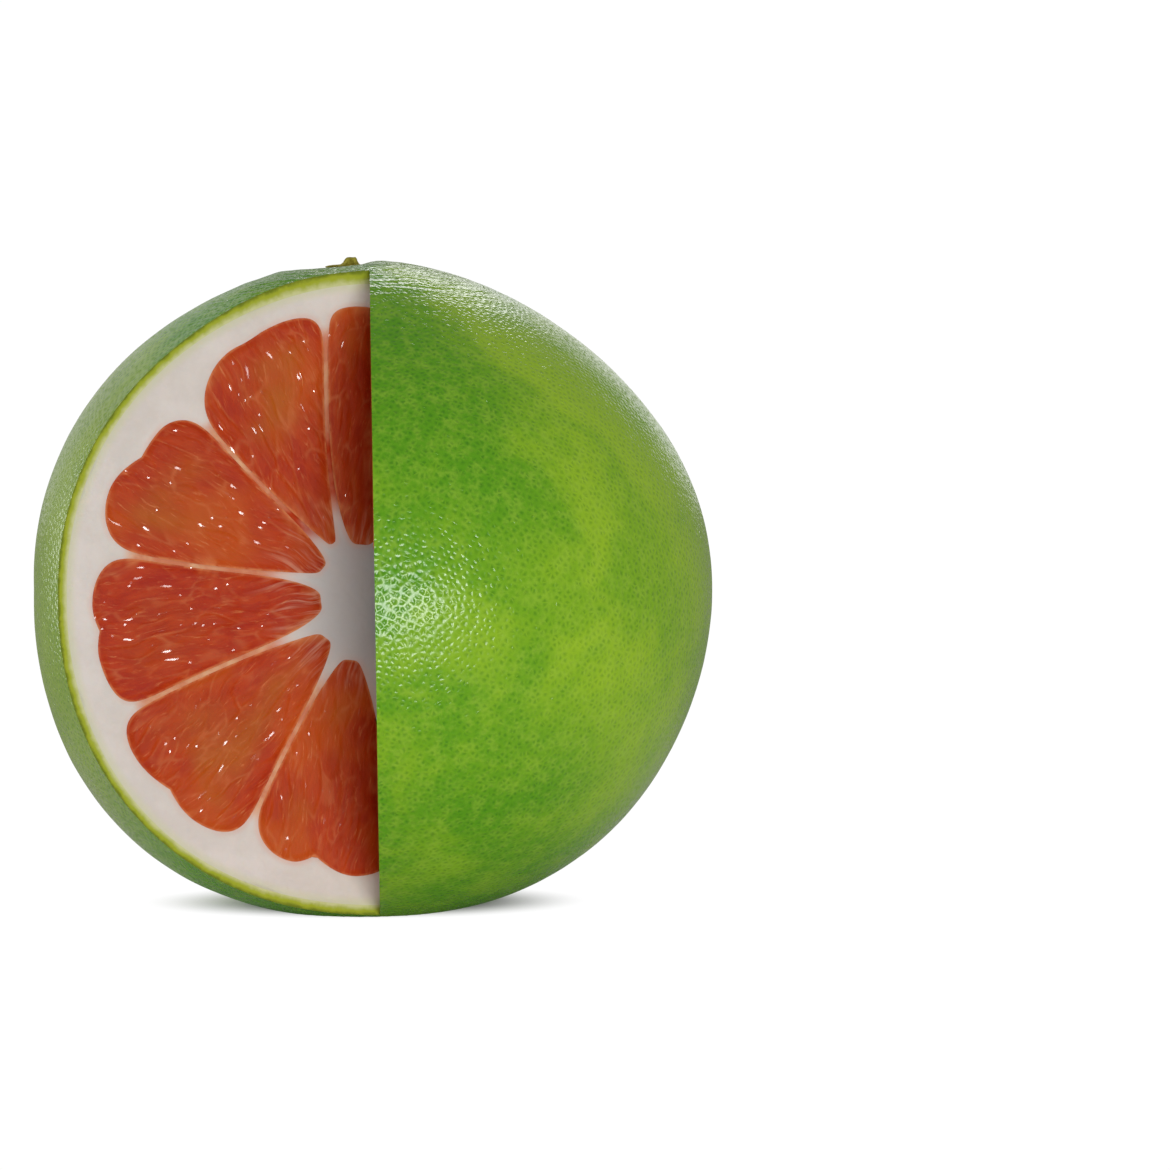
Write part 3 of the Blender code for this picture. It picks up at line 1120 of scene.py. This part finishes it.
def pith_material():
    """White sponge, greyer at the core (partly its own tone, partly painted shade), blushing beside the
    pulp, with tinted membranes.
    """
    graph = Graph("pith")
    core = graph.attribute("core")
    membrane = graph.attribute("membrane")
    white = graph.mix(graph.ramp(graph.noise(110, 4.0, 0.6), 0.35, 0.7), PITH_SHADE, PITH_WHITE)
    white = graph.mix(graph.ramp(graph.attribute("depth"), 1.9, 4.4, 0.85, 0.0), white, PITH_OUTER)
    # Greyer toward the core: partly its own tone, partly painted shade
    white = graph.mix(graph.ramp(core, 10.0, 22.0, 0.9, 0.0), white, PITH_CORE_GREY_AND_SHADE)
    blush = graph.ramp(graph.noise(70, 2.0), 0.4, 0.7, 0.15, 0.6)
    white = graph.mix(graph.product(graph.attribute("near_pulp"), blush), white, PITH_BLUSH)
    streak = graph.ramp(graph.noise(120, 3.0, 0.6, 0.5), 0.35, 0.65)
    wall = graph.mix(streak, MEMBRANE_PALE, MEMBRANE_RED)
    white = graph.mix(graph.product(membrane, graph.ramp(core, 15.0, 24.0), 0.9), white, wall)
    fibres = graph.ramp(graph.noise(260, 2.0, 0.5), 0.38, 0.62, 0.7, 1.0)
    white = graph.mix(graph.product(graph.attribute("stained"), fibres, membrane), white, PULP_RED)
    return graph.finish(
        base_color=white,
        roughness=0.7,
        normal=graph.bump(graph.noise(700, 4.0, 0.65), 0.06 * MM, 0.4),
        specular_ior_level=0.12,
        subsurface_weight=0.2,
        subsurface_radius=(1.0, 0.7, 0.5),
        subsurface_scale=1.2 * MM,
    )


def streaks(graph, fibre, long, wide, detail=3.0, roughness=0.6, shift=0.0):
    """Noise drawn out along the juice sacs, of a length and width in millimetres."""
    place = graph.vector("MULTIPLY", fibre, (1 / long, 1 / wide, 0))
    return graph.noise(1.0, detail, roughness, 0.4, graph.vector("ADD", place, (shift, shift, shift)))


def glints(graph, fibre, long, wide, reach, rarity, shift):
    """A few wet spots drawn out along the juice sacs, of a length and width in millimetres."""
    place = graph.vector("MULTIPLY", fibre, (1 / long, 1 / wide, 0))
    place = graph.vector("ADD", place, (shift, shift, 0))
    cells = graph.node("TexVoronoi", {"Vector": place, "Scale": 1.0}, voronoi_dimensions="2D")
    number = graph.node("SeparateColor", {0: cells.outputs["Color"]}).outputs[0]
    ragged = graph.ramp(streaks(graph, fibre, 0.7, 0.7), 0.3, 0.7, -0.04, 0.04)
    near = graph.ramp(graph.total(cells.outputs["Distance"], ragged), 0.35 * reach, reach, 1.0, 0.0)
    return graph.product(near, graph.ramp(number, rarity, rarity + 0.1))


def pulp_colour(graph, fibre):
    """Deep red to orange and ochre, with pale fibres, walls and edges, palest at the core."""
    edge = graph.attribute("edge")
    warmth = graph.attribute("warmth")
    red = graph.mix(graph.ramp(streaks(graph, fibre, 7.0, 2.6), 0.35, 0.68), PULP_DEEP, PULP_RED)
    red = graph.mix(graph.product(graph.attribute("tone"), 0.22), red, PULP_ORANGE)
    orange = graph.total(graph.ramp(graph.noise(42, 2.0, 0.5), 0.44, 0.66, 0.0, 0.9), 0.16)
    red = graph.mix(graph.math("MINIMUM", graph.product(orange, warmth), 1.0), red, PULP_ORANGE)
    ochre = graph.ramp(graph.noise(38, 2.0, 0.55, 0.3, graph.shifted(3.1)), 0.42, 0.66, 0.0, 0.7)
    ochre = graph.product(ochre, graph.ramp(edge, 2.5, 9.0), warmth)
    red = graph.mix(graph.math("MINIMUM", ochre, 0.8), red, PULP_OCHRE)

    fibres = graph.ramp(streaks(graph, fibre, 4.5, 0.8, 4.0, 0.65, 5.0), 0.56, 0.78, 0.0, 0.6)
    thick_walls = graph.ramp(streaks(graph, fibre, 6.0, 4.0, 2.0, 0.5, 9.0), 0.4, 0.7, 0.0, 0.26)
    rim = graph.ramp(streaks(graph, fibre, 4.0, 4.0), 0.35, 0.65, 0.1, 0.8)
    smear = graph.ramp(graph.noise(75, 3.0, 0.6, 0.4, graph.shifted(1.7)), 0.52, 0.74, 0.0, 0.55)
    for pale in (
        fibres,
        graph.product(graph.attribute("wall"), thick_walls),
        graph.product(graph.ramp(edge, 0.0, 0.7, 1.0, 0.0), rim),
        graph.product(graph.ramp(edge, 0.2, 3.2, 1.0, 0.0), smear),
    ):
        red = graph.mix(pale, red, PULP_PALE)
    tip = graph.ramp(streaks(graph, fibre, 14.0, 1.2, 3.0, 0.6, 7.0), 0.45, 0.75, 0.0, 0.65)
    near_core = graph.ramp(graph.attribute("fibre_x"), 11.0, 26.0, 1.0, 0.0)
    return graph.mix(graph.product(near_core, tip), red, PULP_TIP)


def pulp_material():
    graph = Graph("pulp")
    fibre = {0: graph.attribute("fibre_x"), 1: graph.attribute("fibre_y")}
    fibre = graph.node("CombineXYZ", fibre).outputs[0]
    long_glints = glints(graph, fibre, 6.5, 1.9, 0.17, 0.86, 0.0)
    glint = graph.math("MAXIMUM", long_glints, glints(graph, fibre, 2.6, 1.7, 0.15, 0.88, 3.7))
    relief = graph.total(streaks(graph, fibre, 2.4, 0.9, 2.0, 0.5, 2.0), graph.product(glint, 0.4))
    return graph.finish(
        base_color=pulp_colour(graph, fibre),
        roughness=0.5,
        normal=graph.bump(relief, 0.18 * MM, 0.6),
        specular_ior_level=0.12,
        coat_weight=glint,
        coat_roughness=0.08,
        coat_ior=1.75,
        subsurface_weight=0.15,
        subsurface_radius=(1.0, 0.25, 0.12),
        subsurface_scale=1.5 * MM,
    )


def stem_material():
    """Dry olive yellow with brown specks."""
    graph = Graph("stem")
    patch = graph.noise(600, 3.0, 0.6)
    dry = graph.mix(graph.ramp(patch, 0.35, 0.7), STEM_DARK, STEM_LIGHT)
    dry = graph.mix(graph.ramp(graph.noise(1400, 3.0, 0.6), 0.58, 0.72, 0.0, 0.4), dry, STEM_BROWN)
    return graph.finish(
        base_color=dry,
        roughness=0.75,
        specular_ior_level=0.2,
        normal=graph.bump(patch, 0.2 * MM, 0.8),
    )


# The studio: each softbox by name, direction, distance, size and power
SOFTBOXES = (
    ("front_softbox", (0.18, -0.979, -0.052), 1.5, 0.58, 11.4),
    ("back_softbox", (0.30, 0.93, 0.26), 1.4, 0.6, 0.9),
    ("top_softbox", (0.12, 0.80, 0.58), 1.4, 0.5, 2.1),
    ("back_left_softbox", (-0.36, 0.86, 0.36), 1.4, 1.0, 1.0),
    ("left_softbox", (-0.94, 0.30, 0.12), 1.2, 0.8, 5.5),
)
AMBIENT = 0.25
WHITE = 1.02
FLOOR_RADIUS = 0.30
FLOOR_COLOUR = (0.88, 0.81, 0.90, 1)

# The soft shadow under the fruit: how white its middle is, its place and its half lengths
FLOOR_GLOW = 0.05
SHADOW_PLACE = (-0.002, 0.016, 0)
SHADOW_SIZE = (0.051, 0.036, 1)

# The camera, and where the fruit lies in the picture
CAMERA_DISTANCE = 1.2
CAMERA_RISE = math.radians(3.0)
SENSOR = 36.0
IMAGE_WIDTH = 1170
FRUIT_PIXEL = (373.5, 587.5)
FRUIT_WIDTH_PIXELS = 679


def make_camera():
    """The camera looks along the seam's plane, so that its cut face shows edge-on."""
    focal_pixels = FRUIT_WIDTH_PIXELS / WIDTH * CAMERA_DISTANCE * math.sqrt(
        1 - (WIDTH / 2 / CAMERA_DISTANCE) ** 2)
    rise = CAMERA_DISTANCE * math.sin(CAMERA_RISE)
    place = Vector((seam_x(rise), -CAMERA_DISTANCE * math.cos(CAMERA_RISE), CENTRE_HEIGHT + rise))
    data = bpy.data.cameras.new("camera")
    data.sensor_width = SENSOR
    data.lens = focal_pixels / IMAGE_WIDTH * SENSOR
    data.clip_end = 20
    camera = placed("camera", data)
    right = (IMAGE_WIDTH / 2 - FRUIT_PIXEL[0]) / focal_pixels - place.x / CAMERA_DISTANCE
    down = (FRUIT_PIXEL[1] - IMAGE_WIDTH / 2) / focal_pixels
    camera.location = place
    camera.rotation_mode = "XYZ"
    camera.rotation_euler = (math.pi / 2 - CAMERA_RISE + math.atan(down), 0, -math.atan(right))
    bpy.context.scene.camera = camera


def area_light(name, place, target, size, power):
    data = bpy.data.lights.new(name, "AREA")
    data.shape = "DISK"
    data.size = size
    data.energy = power
    light = placed(name, data)
    light.location = place
    light.rotation_euler = (target - place).to_track_quat("-Z", "Y").to_euler()


def make_studio():
    centre = Vector(CENTRE)
    for name, way, distance, size, power in SOFTBOXES:
        area_light(name, centre + Vector(way).normalized() * distance, centre, size, power)
    make_world()
    make_floor()
    scene = bpy.context.scene
    scene.view_settings.view_transform = "Standard"
    scene.view_settings.look = "None"


def make_world():
    """Soft light from all round, seen as plain white."""
    world = bpy.data.worlds.new("studio")
    world.use_nodes = True
    bpy.context.scene.world = world
    tree = world.node_tree
    light = tree.nodes["Background"]
    seen = tree.nodes.new("ShaderNodeBackground")
    for background, strength in ((light, AMBIENT), (seen, WHITE)):
        background.inputs["Color"].default_value = (1, 1, 1, 1)
        background.inputs["Strength"].default_value = strength
    path = tree.nodes.new("ShaderNodeLightPath")
    mix = tree.nodes.new("ShaderNodeMixShader")
    tree.links.new(path.outputs["Is Camera Ray"], mix.inputs[0])
    tree.links.new(light.outputs[0], mix.inputs[1])
    tree.links.new(seen.outputs[0], mix.inputs[2])
    tree.links.new(mix.outputs[0], tree.nodes["World Output"].inputs["Surface"])


def make_floor():
    shape = bmesh.new()
    bmesh.ops.create_circle(shape, cap_ends=True, segments=96, radius=FLOOR_RADIUS)
    mesh = bpy.data.meshes.new("floor")
    shape.to_mesh(mesh)
    shape.free()
    floor = placed("floor", mesh)
    mesh.materials.append(floor_material())
    floor.visible_shadow = False


def floor_material():
    """Pale floor that turns into plain white a little way from the fruit."""
    graph = Graph("floor")
    graph.finish(base_color=FLOOR_COLOUR, roughness=0.8, specular_ior_level=0.2)
    moved = graph.vector("SUBTRACT", graph.place(), SHADOW_PLACE)
    from_shadow = graph.vector("LENGTH", graph.vector("DIVIDE", moved, SHADOW_SIZE))
    seen = graph.node("LightPath").outputs["Is Camera Ray"]
    strength = graph.ramp(seen, 0.0, 1.0, AMBIENT, WHITE)
    glow = graph.node("Emission", {"Color": (1, 1, 1, 1), "Strength": strength})
    share = graph.product(seen, graph.ramp(from_shadow, 0.5, 1.08, FLOOR_GLOW, 1.0))
    far = graph.ramp(graph.vector("LENGTH", graph.place()), 0.12, 0.26)
    mix = graph.node("MixShader", {0: graph.math("MAXIMUM", share, far)})
    graph.set(mix, 1, graph.shader.outputs[0])
    graph.set(mix, 2, glow.outputs[0])
    graph.set(graph.tree.nodes["Material Output"], "Surface", mix.outputs[0])
    return graph.material


PULP = pulp_material()
make_camera()
make_rind(np.random.default_rng(1))
for number, segment in enumerate(SEGMENTS, start=1):
    make_segment(number, segment, np.random.default_rng(100 + number))
make_pith(np.random.default_rng(2))
make_stem()
make_studio()
